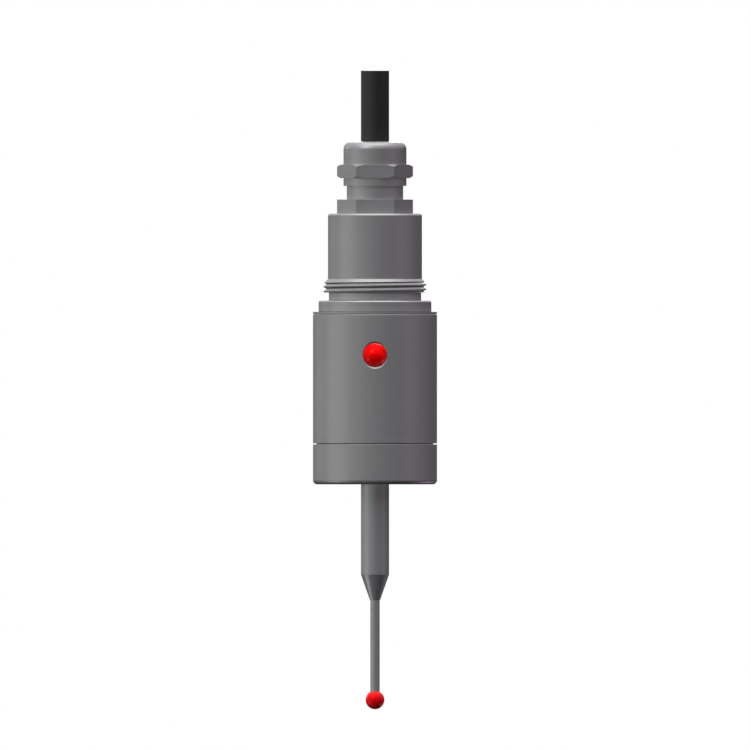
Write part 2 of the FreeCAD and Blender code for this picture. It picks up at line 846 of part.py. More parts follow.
def board_screws():
    point_z = rear_spigot_end_z + screw_bite - fit
    shank = rod(screw_diameter / 2 - close_fit, board_base_z, point_z, board_screw_place)
    one = screw(board_base_z - screw_head_height, board_screw_place, False).fuse(shank)
    return group(around(one, board_screw_count, board_screw_angle))


def board_chip():
    # A small outline package with legs along its two long sides.
    body = box(0, 0, board_top_z + chip_standoff, chip_width, chip_length, chip_height)
    legs = []
    for side in (-1, 1):
        for row in range(chip_legs):
            x = side * (chip_width + leg_reach) / 2
            y = (row - (chip_legs - 1) / 2) * chip_pitch
            legs.append(box(x, y, board_top_z, leg_reach + leg_sunk, leg_width, leg_height))
    return body.fuse(legs)


def board_resistors():
    return group([box(x, y, board_top_z, *resistor_size) for x, y in resistor_places])


def board_transistor():
    width, depth, height = transistor_size
    body = box(0, transistor_y, board_top_z + chip_standoff, width, depth, height)
    legs = []
    for x, side in ((-width / 3, -1), (width / 3, -1), (0, 1)):
        y = transistor_y + side * (depth + leg_reach) / 2
        legs.append(box(x, y, board_top_z, leg_width, leg_reach + leg_sunk, leg_height))
    return body.fuse(legs)


def signal_wires():
    # Up the wall from the carrier, then in to clear the rear spigot, and through the board.
    outer = wire_place
    inner = wire_board_place
    points = [
        V(outer, 0, carrier_top_z - wire_sunk + close_fit),
        V(outer, 0, board_base_z - wire_jog),
        V(inner, 0, board_base_z - wire_jog + outer - inner),
        V(inner, 0, board_top_z + solder_proud),
    ]
    wire = bent_rod(points, wire_diameter / 2, wire_bend)
    return group([spun(wire, angle) for angle in wire_angles])


# Lamp: lens with its flange, two leads and the grommet that holds it in the wall
def indicator_lamp():
    back = V(0, 1, 0)
    radius = lamp_diameter / 2
    straight = lamp_base_y - lamp_tip_y - radius
    lens = Part.makeCylinder(radius, straight, V(0, lamp_tip_y + radius, lamp_z), back)
    lens = lens.fuse(Part.makeSphere(radius, V(0, lamp_tip_y + radius, lamp_z)))
    flange_start = V(0, lamp_base_y - lamp_flange, lamp_z)
    flange = Part.makeCylinder(lamp_flange_diameter / 2, lamp_flange, flange_start, back)
    return lens.fuse(flange)


def lamp_leads():
    leads = []
    for x, y in lead_places():
        points = [V(x, lamp_base_y, lamp_z), V(x, y, lamp_z), V(x, y, board_top_z + solder_proud)]
        leads.append(bent_rod(points, lead_diameter / 2, lead_bend))
    return group(leads)


def lamp_grommet():
    start = V(0, -body_radius, lamp_z)
    length = lamp_base_y - lamp_flange + body_radius
    body = Part.makeCylinder(grommet_diameter / 2, length, start, V(0, 1, 0))
    limit = rod(upper_bore_radius - close_fit, lamp_z - grommet_diameter, lamp_z + grommet_diameter)
    body = body.common(limit)
    return body.cut(Part.makeCylinder(lamp_diameter / 2 + close_fit, 2 * length, start, V(0, 1, 0)))


# Cable gland
hex_top_z = shank_end_z + gland_hex_length
neck_top_z = hex_top_z + gland_neck_length
thread_top_z = neck_top_z + gland_upper_thread_length
nut_hex_z = neck_top_z + nut_skirt_length
nut_hex_top_z = nut_hex_z + nut_hex_length
nut_top_z = nut_hex_top_z + nut_dome_length
cable_top_z = nut_top_z + cable_proud
cable_radius = cable_diameter / 2
cable_inside_end = shank_end_z - cable_inside_length
seal_seat_radius = seal_seat_diameter / 2
seal_seat_z = neck_top_z - seal_seat_sunk


def gland_body():
    body = rod(gland_thread_diameter / 2, shank_end_z - gland_thread_length, shank_end_z)
    body = body.fuse(hexagon(gland_across_flats, shank_end_z, hex_top_z))
    body = body.fuse(rod(gland_neck_diameter / 2, hex_top_z, neck_top_z))
    body = body.fuse(rod(gland_upper_thread_diameter / 2, neck_top_z, thread_top_z))
    bore_z = shank_end_z - gland_thread_length - 1
    body = body.cut(rod(cable_radius + gland_bore_room, bore_z, thread_top_z + 1))
    return body.cut(rod(seal_seat_radius, seal_seat_z, thread_top_z + 1))


def gland_nut():
    corner_radius = gland_across_flats / math.sqrt(3)
    face_radius = nut_hex_chamfer_diameter / 2
    drop = (corner_radius - face_radius) * math.tan(math.radians(nut_hex_chamfer_angle))
    bar = hexagon(gland_across_flats, nut_hex_z, nut_hex_top_z)
    limit = turned([
        (0, nut_hex_z),
        (face_radius, nut_hex_z),
        (corner_radius, nut_hex_z + drop),
        (corner_radius, nut_hex_top_z - drop),
        (face_radius, nut_hex_top_z),
        (0, nut_hex_top_z),
    ])
    dome = rod(nut_diameter / 2, nut_hex_top_z, nut_top_z)
    dome = dome.makeFillet(nut_dome_edge, outer_edges(dome, nut_diameter / 2, nut_top_z))
    nut = bar.common(limit).fuse(dome).fuse(rod(nut_diameter / 2, neck_top_z, nut_hex_z))
    bore = turned([
        (0, neck_top_z),
        (gland_upper_thread_diameter / 2 + fit, neck_top_z),
        (gland_upper_thread_diameter / 2 + fit, thread_top_z + nut_cone_start),
        (cable_radius + nut_cone_room, nut_top_z - nut_top_wall),
        (cable_radius + cable_hole_room, nut_top_z - nut_top_wall),
        (cable_radius + cable_hole_room, nut_top_z),
        (0, nut_top_z),
    ])
    return nut.cut(bore)


seal_top_z = seal_seat_z + seal_height
claw_tip_z = nut_top_z - nut_top_wall - claw_tip_room


def gland_seal():
    return ring(cable_radius + close_fit, seal_seat_radius - close_fit, seal_seat_z, seal_top_z)


def gland_claw():
    inner = cable_radius + 2 * fit
    claw = turned([
        (inner, seal_top_z + fit),
        (seal_seat_radius - fit, seal_top_z + fit),
        (seal_seat_radius - fit, thread_top_z + fit),
        (gland_upper_thread_diameter / 2 - claw_flange_step, thread_top_z + fit),
        (gland_upper_thread_diameter / 2 - claw_flange_step, thread_top_z + nut_cone_start),
        (inner + claw_tip_wall, claw_tip_z),
        (inner, claw_tip_z),
    ])
    slit_z = thread_top_z + nut_cone_start
    slit = Part.makeBox(cable_diameter, claw_slit, nut_top_z - slit_z, V(0, -claw_slit / 2, slit_z))
    for tool in around(slit, claw_count):
        claw = claw.cut(tool)
    return claw


# Cable and its cores
def cable_jacket():
    return ring(cable_core_hole / 2, cable_radius, cable_inside_end, cable_top_z)


def cable_core(index):
    angle = math.radians(core_board_angles[index])
    inner = core_circle / 2
    outer = core_board_circle / 2
    x, y = math.cos(angle), math.sin(angle)
    points = [
        V(inner * x, inner * y, cable_top_z - core_cut_back),
        V(inner * x, inner * y, cable_inside_end - core_run),
        V(outer * x, outer * y, board_top_z + core_rise),
        V(outer * x, outer * y, board_base_z - core_bare),
    ]
    return bent_rod(points, core_diameter / 2, core_bend)


os.makedirs("parts", exist_ok=True)
add("front_cap", front_cap())
add("front_cap_seal", o_ring(front_seal_floor, cap_bore_radius, front_seal_z))
add("main_housing", main_housing())
add("rear_housing", rear_housing())
add("rear_seal", o_ring(rear_seal_floor, upper_bore_radius, rear_seal_z))
add("seat_ring", seat_ring())
add("ball_carrier", ball_carrier())
add("contact_balls", contact_balls())
add("ball_keeper", ball_keeper())
add("carrier_screws", carrier_screws())
add("diaphragm_clamp_ring", clamp_ring())
add("seal_diaphragm", seal_diaphragm())
add("spring_plate", spring_plate())
add("retaining_ring", retaining_ring())
add("preload_adjuster", preload_adjuster())
add("guide_bush", guide_bush())
add("preload_spring", preload_spring())
add("centre_plunger", centre_plunger())
add("plunger_spring", plunger_spring())
add("pivot_ball", pivot_ball())
add("stylus_hub", stylus_hub())
for rod_index in range(contact_count):
    add("contact_rod_%d" % (rod_index + 1), contact_rod(rod_index))
add("stylus_holder", stylus_holder())
add("stylus_stem", stylus_stem())
add("stylus_ball", stylus_ball())
add("circuit_board", circuit_board())
add("board_screws", board_screws())
add("board_chip", board_chip())
add("board_resistors", board_resistors())
add("board_transistor", board_transistor())
add("signal_wires", signal_wires())
add("indicator_lamp", indicator_lamp())
add("lamp_leads", lamp_leads())
add("lamp_grommet", lamp_grommet())
add("gland_body", gland_body())
add("gland_nut", gland_nut())
add("gland_seal", gland_seal())
add("gland_claw", gland_claw())
add("cable_jacket", cable_jacket())
for core_index in range(core_count):
    add("cable_core_%d" % (core_index + 1), cable_core(core_index))
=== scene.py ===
import json
import math

import bmesh
import bpy
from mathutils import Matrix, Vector


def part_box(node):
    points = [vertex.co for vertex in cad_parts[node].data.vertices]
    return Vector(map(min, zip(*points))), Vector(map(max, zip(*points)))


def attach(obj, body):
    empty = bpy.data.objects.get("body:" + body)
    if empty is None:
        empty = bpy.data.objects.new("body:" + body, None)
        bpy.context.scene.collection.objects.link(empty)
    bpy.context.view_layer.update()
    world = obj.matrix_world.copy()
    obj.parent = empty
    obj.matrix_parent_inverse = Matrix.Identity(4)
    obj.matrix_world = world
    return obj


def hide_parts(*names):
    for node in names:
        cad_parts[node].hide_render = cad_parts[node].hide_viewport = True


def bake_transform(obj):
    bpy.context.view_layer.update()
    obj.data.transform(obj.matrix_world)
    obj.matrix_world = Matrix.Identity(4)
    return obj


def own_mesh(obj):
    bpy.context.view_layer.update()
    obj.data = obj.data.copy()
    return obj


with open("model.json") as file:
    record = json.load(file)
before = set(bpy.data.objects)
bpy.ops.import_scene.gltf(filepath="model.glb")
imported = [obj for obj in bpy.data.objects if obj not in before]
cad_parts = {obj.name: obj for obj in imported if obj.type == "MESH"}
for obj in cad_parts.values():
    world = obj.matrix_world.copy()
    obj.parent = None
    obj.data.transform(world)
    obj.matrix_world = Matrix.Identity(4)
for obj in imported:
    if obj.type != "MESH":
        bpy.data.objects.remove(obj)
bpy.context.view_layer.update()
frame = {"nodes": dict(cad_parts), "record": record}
scene = bpy.context.scene
print("stage: frame loaded")

millimetre = 0.001


def linear(hexColour):
    # A hex colour, as seen on a screen, in the linear values that the shaders take.
    values = [int(hexColour[start:start + 2], 16) / 255 for start in (0, 2, 4)]
    return [v / 12.92 if v <= 0.04045 else ((v + 0.055) / 1.055) ** 2.4 for v in values] + [1.0]


def addNode(tree, kind, settings=None, inputs=None):
    # One node with its settings and links. An input takes a constant, the output socket that feeds
    # it, or a whole node, which stands for its first output.
    node = tree.nodes.new(kind)
    for key, value in (settings or {}).items():
        setattr(node, key, value)
    for key, value in (inputs or {}).items():
        if isinstance(value, bpy.types.Node):
            value = value.outputs[0]
        if isinstance(value, bpy.types.NodeSocket):
            tree.links.new(value, node.inputs[key])
        else:
            node.inputs[key].default_value = value
    return node


# The mix node has sockets of one name for numbers, vectors and colours, so its colour ones go by place
mixShare, mixFirst, mixSecond, mixResult = 0, 6, 7, 2

# Nearly all of a noise lies between these, so a range that starts and ends there gets its full contrast
noiseReach = {"From Min": 0.3, "From Max": 0.7}


def newMaterial(name):
    material = bpy.data.materials.new(name)
    material.use_nodes = True
    material.node_tree.nodes.clear()
    return material, material.node_tree


def pattern(tree, sizesMm, detail):
    # Noise in object coordinates, with spots of these real sizes along the three axes.
    coordinates = addNode(tree, "ShaderNodeTexCoord")
    placed = addNode(tree, "ShaderNodeMapping", inputs={
        "Vector": coordinates.outputs["Object"],
        "Scale": [1 / (size * millimetre) for size in sizesMm],
    })
    return addNode(tree, "ShaderNodeTexNoise", inputs={"Vector": placed, "Scale": 1.0, "Detail": detail})


# Metals: the tool leaves rings about the axis, seen as fine level lines and a broad sheen. Line
# spacings over 0.05 mm are drawn coarser than a real finishing cut's, so that they show at this
# picture's scale. The outer metals are half metallic, because their oxide, plating or satin skin
# scatters half of the light.
metalLooks = {
    # Anodising turns bright aluminium into a soft grey, and its lines only just show.
    "anodised_aluminium": {
        "name": "aluminium, turned and grey anodised",
        "metallic": 0.5, "dark": "929293", "light": "989899", "cloud": "908f92", "cloudShare": 0.35,
        "roughLow": 0.42, "roughHigh": 0.48, "lineMm": 0.09, "lineLengthMm": 14.0, "cloudMm": 9.0,
        "grainMm": 0.12, "bump": 0.12, "bumpMm": 0.01, "edgeMm": 0.06, "recessShadeFrom": 0.15, "recessShadeTo": 0.5,
    },
    # Matt nickel hides the yellow of the brass under an even, slightly cooler grey.
    "gland_nickel": {
        "name": "brass, turned and matt nickel plated",
        "metallic": 0.5, "dark": "919192", "light": "989899", "cloud": "8f8e91", "cloudShare": 0.35,
        "roughLow": 0.41, "roughHigh": 0.48, "lineMm": 0.1, "lineLengthMm": 10.0, "cloudMm": 6.0,
        "grainMm": 0.1, "bump": 0.12, "bumpMm": 0.01, "edgeMm": 0.03,
        "recessShadeMm": 0.3, "recessShadeFrom": 0.15, "recessShadeTo": 0.5,
    },
    # A satin grind spreads the light into one wide soft streak down the holder.
    "stylus_steel": {
        "name": "steel, turned and satin ground",
        "metallic": 0.5, "dark": "929293", "light": "989899", "cloud": "908f92", "cloudShare": 0.3,
        "roughLow": 0.41, "roughHigh": 0.48, "lineMm": 0.07, "lineLengthMm": 8.0, "cloudMm": 7.0,
        "grainMm": 0.08, "bump": 0.1, "bumpMm": 0.006, "edgeMm": 0.04,
    },
    # Centreless grinding leaves a rod so even that it looks plain, with one thin streak.
    "stem_steel": {
        "name": "steel, centreless ground",
        "metallic": 0.5, "dark": "929293", "light": "999899", "cloud": "908f92", "cloudShare": 0.3,
        "roughLow": 0.4, "roughHigh": 0.47, "lineMm": 0.05, "lineLengthMm": 5.0, "cloudMm": 5.0,
        "grainMm": 0.06, "bump": 0.08, "bumpMm": 0.004, "edgeMm": 0.02,
    },
    # Lapped steel is nearly a mirror, so it shows bright and dark spots of its surroundings.
    "hard_steel": {
        "name": "steel, hardened and lapped",
        "metallic": 1.0, "dark": "b4b4b4", "light": "c4c4c4", "cloud": "a8a8aa", "cloudShare": 0.3,
        "roughLow": 0.12, "roughHigh": 0.2, "lineMm": 0.05, "lineLengthMm": 5.0, "cloudMm": 4.0,
        "grainMm": 0.05, "bump": 0.05, "bumpMm": 0.003, "edgeMm": 0.03,
    },
    # Zinc gives a light, slightly blue grey with a blurred shine.
    "plain_steel": {
        "name": "steel, turned and zinc plated",
        "metallic": 1.0, "dark": "a6a8aa", "light": "b8babb", "cloud": "9a9ea4", "cloudShare": 0.4,
        "roughLow": 0.28, "roughHigh": 0.38, "lineMm": 0.08, "lineLengthMm": 6.0, "cloudMm": 5.0,
        "grainMm": 0.06, "bump": 0.1, "bumpMm": 0.005, "edgeMm": 0.04,
    },
    # Oil on drawn wire makes it a brownish grey that still shines.
    "spring_steel": {
        "name": "spring steel, drawn and oiled",
        "metallic": 1.0, "dark": "8a8680", "light": "9c9890", "cloud": "7a756c", "cloudShare": 0.4,
        "roughLow": 0.25, "roughHigh": 0.36, "lineMm": 0.06, "lineLengthMm": 2.0, "cloudMm": 3.0,
        "grainMm": 0.05, "bump": 0.08, "bumpMm": 0.004, "edgeMm": 0.02,
    },
    # Fresh from the tool, brass is a warm yellow with bright rings.
    "adjuster_brass": {
        "name": "brass, turned",
        "metallic": 1.0, "dark": "b8954e", "light": "cca95e", "cloud": "a48140", "cloudShare": 0.4,
        "roughLow": 0.22, "roughHigh": 0.32, "lineMm": 0.08, "lineLengthMm": 6.0, "cloudMm": 4.0,
        "grainMm": 0.06, "bump": 0.1, "bumpMm": 0.005, "edgeMm": 0.05,
    },
    # Tin turns the copper silvery, and a little blotchy where it ran.
    "tinned_wire": {
        "name": "copper, drawn and tinned",
        "metallic": 1.0, "dark": "b0b0ae", "light": "c8c8c4", "cloud": "9a9a96", "cloudShare": 0.4,
        "roughLow": 0.25, "roughHigh": 0.35, "lineMm": 0.2, "lineLengthMm": 0.6, "cloudMm": 1.0,
        "grainMm": 0.05, "bump": 0.1, "bumpMm": 0.004, "edgeMm": 0.02,
    },
    # Bare copper glints orange where the strands are cut.
    "strand_copper": {
        "name": "copper, drawn",
        "metallic": 1.0, "dark": "b8683c", "light": "d0865a", "cloud": "9a5430", "cloudShare": 0.4,
        "roughLow": 0.2, "roughHigh": 0.3, "lineMm": 0.1, "lineLengthMm": 0.5, "cloudMm": 0.6,
        "grainMm": 0.03, "bump": 0.1, "bumpMm": 0.002, "edgeMm": 0.01,
    },
}

# The thread is deep and narrow, and its roots and undersides are given more painted shade than other
# grooves.
metalLooks["threaded"] = {
    **metalLooks["anodised_aluminium"],
    "name": "aluminium, threaded and grey anodised",
    "recessShadeFrom": 0.5, "recessShadeTo": 0.7, "undersideShade": 0.4,
}

# Painted shade: where ambient occlusion finds a narrow groove or thread root, the colour is painted much
# darker than on open faces
recessShadeLook = {"recessShade": "0a0a0a", "recessShadeMm": 0.5, "recessShadeFrom": 0.3, "recessShadeTo": 0.6, "undersideShade": 0.0}


def turnedMetal(look):
    material, tree = newMaterial(look["name"])
    lines = pattern(tree, (look["lineLengthMm"], look["lineLengthMm"], look["lineMm"]), 2.0)
    cloud = pattern(tree, (look["cloudMm"],) * 3, 3.0)
    grain = pattern(tree, (look["grainMm"],) * 3, 1.0)
    lineShare = addNode(tree, "ShaderNodeMapRange", inputs={**noiseReach, "Value": lines})
    linedTone = addNode(tree, "ShaderNodeMix", {"data_type": "RGBA"}, {
        mixShare: lineShare,
        mixFirst: linear(look["dark"]),
        mixSecond: linear(look["light"]),
    })
    cloudShare = addNode(tree, "ShaderNodeMapRange", inputs={
        **noiseReach,
        "Value": cloud,
        "To Max": look["cloudShare"],
    })
    cloudedTone = addNode(tree, "ShaderNodeMix", {"data_type": "RGBA"}, {
        mixShare: cloudShare,
        mixFirst: linedTone.outputs[mixResult],
        mixSecond: linear(look["cloud"]),
    })
    # Painted shade: the base colour goes towards the recess shade colour where this occlusion finds a
    # recess.
    reach = addNode(tree, "ShaderNodeAmbientOcclusion", {"samples": 8}, {
        "Distance": look["recessShadeMm"] * millimetre,
    })
    facing = addNode(tree, "ShaderNodeSeparateXYZ", inputs={
        "Vector": addNode(tree, "ShaderNodeNewGeometry").outputs["True Normal"],
    })
    # Painted shade: faces that look down are painted darker, so the undersides of the ridges are darker
    # than the upper flanks.
    undersideShaded = addNode(tree, "ShaderNodeMath", {"operation": "MULTIPLY_ADD"}, {
        0: facing.outputs["Z"],
        1: look["undersideShade"],
        2: reach.outputs["AO"],
    })
    unshadedShare = addNode(tree, "ShaderNodeMapRange", inputs={
        "Value": undersideShaded,
        "From Min": look["recessShadeFrom"],
        "From Max": look["recessShadeTo"],
    })
    tone = addNode(tree, "ShaderNodeMix", {"data_type": "RGBA"}, {
        mixShare: unshadedShare,
        mixFirst: linear(look["recessShade"]),
        mixSecond: cloudedTone.outputs[mixResult],
    })
    roughness = addNode(tree, "ShaderNodeMapRange", inputs={
        **noiseReach,
        "Value": lines,
        "To Min": look["roughLow"],
        "To Max": look["roughHigh"],
    })
    rounded = addNode(tree, "ShaderNodeBevel", {"samples": 4}, {"Radius": look["edgeMm"] * millimetre})
    bump = addNode(tree, "ShaderNodeBump", inputs={
        "Strength": look["bump"],
        "Distance": look["bumpMm"] * millimetre,
        "Height": addNode(tree, "ShaderNodeMath", {"operation": "ADD"}, {0: lines, 1: grain}),
        "Normal": rounded,
    })
    shader = addNode(tree, "ShaderNodeBsdfPrincipled", inputs={
        "Base Color": tone.outputs[mixResult],
        "Metallic": look["metallic"],
        "Roughness": roughness,
        "Normal": bump,
    })
    addNode(tree, "ShaderNodeOutputMaterial", inputs={"Surface": shader})
    return material


# Moulded, extruded or cut materials: a faint mottle and a fine grain, with no direction
mouldedLooks = {
    # Extruded with a matt skin, the sheath is nearly black and takes the light as a wide faint band.
    "cable_pvc": {
        "name": "vinyl, extruded matt black",
        "dark": "101011", "light": "161617", "cloudMm": 4.0, "grainMm": 0.25,
        "roughLow": 0.48, "roughHigh": 0.6, "bump": 0.15, "bumpMm": 0.02,
    },
    # Rubber is dull and dark, with hardly a highlight.
    "black_rubber": {
        "name": "rubber, moulded black",
        "dark": "141414", "light": "1e1e1e", "cloudMm": 3.0, "grainMm": 0.15,
        "roughLow": 0.6, "roughHigh": 0.8, "bump": 0.2, "bumpMm": 0.015,
    },
    # Cut phenolic is tan, a little mottled by its filler, and half dull.
    "insulator": {
        "name": "phenolic, machined",
        "dark": "b9a67e", "light": "cbb98f", "cloudMm": 3.0, "grainMm": 0.1,
        "roughLow": 0.4, "roughHigh": 0.55, "bump": 0.1, "bumpMm": 0.006,
    },
    # Undyed nylon is milky white with a soft shine.
    "gland_plastic": {
        "name": "nylon, moulded",
        "dark": "c8c7c0", "light": "d8d7d0", "cloudMm": 3.0, "grainMm": 0.1,
        "roughLow": 0.35, "roughHigh": 0.5, "bump": 0.1, "bumpMm": 0.006,
    },
    # Green lacquer lies over the glass cloth, so a fine mottle shows under a thin gloss.
    "board_laminate": {
        "name": "glass laminate, cut",
        "dark": "12552c", "light": "1a6a38", "cloudMm": 1.2, "grainMm": 0.12,
        "roughLow": 0.25, "roughHigh": 0.4, "bump": 0.15, "bumpMm": 0.008, "coat": 0.4,
    },
    # Filled epoxy is charcoal with a dry, faintly sandy skin.
    "chip_plastic": {
        "name": "epoxy, moulded black",
        "dark": "1c1c1d", "light": "262627", "cloudMm": 0.8, "grainMm": 0.06,
        "roughLow": 0.5, "roughHigh": 0.65, "bump": 0.2, "bumpMm": 0.006,
    },
    # Matt paper is nearly white and has no shine.
    "stage_paper": {
        "name": "paper, matt pale",
        "dark": "f1f1f1", "light": "f6f6f6", "cloudMm": 120.0, "grainMm": 1.5,
        "roughLow": 0.8, "roughHigh": 0.95, "bump": 0.03, "bumpMm": 0.02,
    },
}

# Wire insulation has one strong colour each, with the slight shine of a smooth extruded skin
insulationLook = {
    "cloudMm": 2.0, "grainMm": 0.08, "roughLow": 0.35, "roughHigh": 0.5, "bump": 0.1, "bumpMm": 0.005,
}
for slotName, colourName, dark, light in (
    ("core_red", "red", "a81418", "be2024"),
    ("core_white", "white", "d4d2cc", "e4e2dc"),
    ("core_green", "green", "1c6a30", "287c3c"),
    ("core_black", "black", "1e1e1f", "29292a"),
    ("wire_yellow", "yellow", "c89a1c", "dcb02c"),
):
    mouldedLooks[slotName] = {
        **insulationLook, "name": "vinyl, extruded " + colourName, "dark": dark, "light": light,
    }


def mouldedMaterial(look):
    material, tree = newMaterial(look["name"])
    cloud = pattern(tree, (look["cloudMm"],) * 3, 3.0)
    grain = pattern(tree, (look["grainMm"],) * 3, 2.0)
    cloudShare = addNode(tree, "ShaderNodeMapRange", inputs={**noiseReach, "Value": cloud})
    tone = addNode(tree, "ShaderNodeMix", {"data_type": "RGBA"}, {
        mixShare: cloudShare,
        mixFirst: linear(look["dark"]),
        mixSecond: linear(look["light"]),
    })
    roughness = addNode(tree, "ShaderNodeMapRange", inputs={
        **noiseReach,
        "Value": grain,
        "To Min": look["roughLow"],
        "To Max": look["roughHigh"],
    })
    bump = addNode(tree, "ShaderNodeBump", inputs={
        "Strength": look["bump"],
        "Distance": look["bumpMm"] * millimetre,
        "Height": grain,
    })
    shader = addNode(tree, "ShaderNodeBsdfPrincipled", inputs={
        "Base Color": tone.outputs[mixResult],
        "Roughness": roughness,
        "Coat Weight": look.get("coat", 0.0),
        "Coat Roughness": 0.1,
        "Normal": bump,
    })
    addNode(tree, "ShaderNodeOutputMaterial", inputs={"Surface": shader})
    return material


# Lamp: clear red epoxy, cast over the chip. It glows a little, and its colour and glow are painted
# brighter above than below, as painted light falling from above
lampLook = {
    "name": "epoxy, cast clear red",
    "bright": "f00206",
    "deep": "720201",
    "glow": 0.5,
    "roughLow": 0.224,
    "roughHigh": 0.336,
    "cloudMm": 1.2,
    "cloudLow": 0.85,
    "cloudHigh": 1.15,
    "paintedLightSpanMm": 5.0,
    "ior": 1.53,
    "shine": 0.15,
    "shineTint": "ff9090",
}


def lampEpoxy(look):
    material, tree = newMaterial(look["name"])
    low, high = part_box("indicator_lamp")
    centreZ = (low[2] + high[2]) / 2
    half = look["paintedLightSpanMm"] * millimetre / 2
    coordinates = addNode(tree, "ShaderNodeTexCoord")
    parts = addNode(tree, "ShaderNodeSeparateXYZ", inputs={"Vector": coordinates.outputs["Object"]})
    # Painted light: the colour and glow run from the deep red at the bottom to the bright red at the top.
    level = addNode(tree, "ShaderNodeMapRange", inputs={
        "Value": parts.outputs["Z"],
        "From Min": centreZ - half,
        "From Max": centreZ + half,
    })
    cloud = pattern(tree, (look["cloudMm"],) * 3, 2.0)
    cloudShare = addNode(tree, "ShaderNodeMapRange", inputs={
        **noiseReach,
        "Value": cloud,
        "To Min": look["cloudLow"],
        "To Max": look["cloudHigh"],
    })
    share = addNode(tree, "ShaderNodeMath", {"operation": "MULTIPLY", "use_clamp": True}, {
        0: level,
        1: cloudShare,
    })
    tone = addNode(tree, "ShaderNodeMix", {"data_type": "RGBA"}, {
        mixShare: share,
        mixFirst: linear(look["deep"]),
        mixSecond: linear(look["bright"]),
    })
    roughness = addNode(tree, "ShaderNodeMapRange", inputs={
        **noiseReach,
        "Value": cloud,
        "To Min": look["roughLow"],
        "To Max": look["roughHigh"],
    })
    shader = addNode(tree, "ShaderNodeBsdfPrincipled", inputs={
        "Base Color": tone.outputs[mixResult],
        "Roughness": roughness,
        "IOR": look["ior"],
        "Specular IOR Level": look["shine"],
        "Specular Tint": linear(look["shineTint"]),
        "Emission Color": tone.outputs[mixResult],
        "Emission Strength": look["glow"],
    })
    addNode(tree, "ShaderNodeOutputMaterial", inputs={"Surface": shader})
    return material


# Ball: a polished red synthetic stone. Light that enters the clear stone comes back out red, so its
# highlights are soft and red
ballLook = {
    "name": "synthetic stone, polished red",
    "bright": "ee0a12",
    "deep": "d20610",
    "roughLow": 0.294,
    "roughHigh": 0.546,
    "cloudMm": 0.9,
    "ior": 1.5,
    "shine": 0.8,
    "shineTint": "ff2a26",
}


def redStone(look):
    material, tree = newMaterial(look["name"])
    cloud = pattern(tree, (look["cloudMm"],) * 3, 2.0)
    cloudShare = addNode(tree, "ShaderNodeMapRange", inputs={**noiseReach, "Value": cloud})
    tone = addNode(tree, "ShaderNodeMix", {"data_type": "RGBA"}, {
        mixShare: cloudShare,
        mixFirst: linear(look["deep"]),
        mixSecond: linear(look["bright"]),
    })
    roughness = addNode(tree, "ShaderNodeMapRange", inputs={
        **noiseReach,
        "Value": cloud,
        "To Min": look["roughLow"],
        "To Max": look["roughHigh"],
    })
    shader = addNode(tree, "ShaderNodeBsdfPrincipled", inputs={
        "Base Color": tone.outputs[mixResult],
        "Roughness": roughness,
        "IOR": look["ior"],
        "Specular IOR Level": look["shine"],
        "Specular Tint": linear(look["shineTint"]),
    })
    addNode(tree, "ShaderNodeOutputMaterial", inputs={"Surface": shader})
    return material


materials = {"lamp_epoxy": lampEpoxy(lampLook), "ruby_ball": redStone(ballLook)}
for slotName, look in metalLooks.items():
    materials[slotName] = turnedMetal({**recessShadeLook, **look})
for slotName, look in mouldedLooks.items():
    materials[slotName] = mouldedMaterial(look)
print("stage: materials made", len(materials))

for part in frame["record"]["subparts"]:
    shown = frame["nodes"][part["node"]]
    finish = materials["threaded" if part["node"] == "rear_housing" else part["material_slot"]]
    for index in range(len(shown.material_slots)):
        shown.material_slots[index].link = "OBJECT"
        shown.material_slots[index].material = finish
    if not shown.material_slots:
        shown.data.materials.append(finish)
print("stage: frame painted")


def addObject(name, mesh, materialKey, body=None):
    piece = bpy.data.objects.new(name, mesh)
    scene.collection.objects.link(piece)
    mesh.materials.clear()
    mesh.materials.append(materials[materialKey])
    for polygon in mesh.polygons:
        polygon.use_smooth = True
    if body:
        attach(piece, body)
    return piece


def latheMesh(name, outline, steps, sharpAngle):
    # A closed outline of (radius, height) points in mm, turned about the axis.
    mesh = bpy.data.meshes.new(name)
    built = bmesh.new()
    rings = []
    for index in range(steps):
        angle = 2 * math.pi * index / steps
        acrossX, acrossY = math.cos(angle) * millimetre, math.sin(angle) * millimetre
        rings.append([built.verts.new((r * acrossX, r * acrossY, z * millimetre)) for r, z in outline])
    for index in range(steps):
        here, there = rings[index], rings[(index + 1) % steps]
        for low in range(len(outline)):
            high = (low + 1) % len(outline)
            built.faces.new((here[low], there[low], there[high], here[high]))
    bmesh.ops.recalc_face_normals(built, faces=built.faces)
    built.to_mesh(mesh)
    built.free()
    mesh.set_sharp_from_angle(angle=math.radians(sharpAngle))
    return mesh


# Diaphragm: the clamped rim stays with the body, the web is made as three rings that stay where they
# are built, and the collar stays with the stylus
diaphragmLook = {
    "steps": 96,
    "rings": 12,
    "liftShare": 0.333,  # of the web, from the rim inwards
    "firstTiltShare": 0.645,
    "rimWidthMm": 3.0,
    "rimHeightMm": 0.6,
    "rimFoldMm": 0.2,
    "sheetMm": 0.36,
    "webDropMm": 0.12,  # from the rim's top to the web's upper edge
    "webFootMm": 0.82,  # from the collar's foot to the web's lower edge
    "foldMm": 0.22,
    "holderRoomMm": 0.02,
    "collarWallMm": 0.7,
    "collarHeightMm": 1.6,
    "collarEdgeMm": 0.15,
    "sharpAngle": 35,
    "webSharpAngle": 60,
}


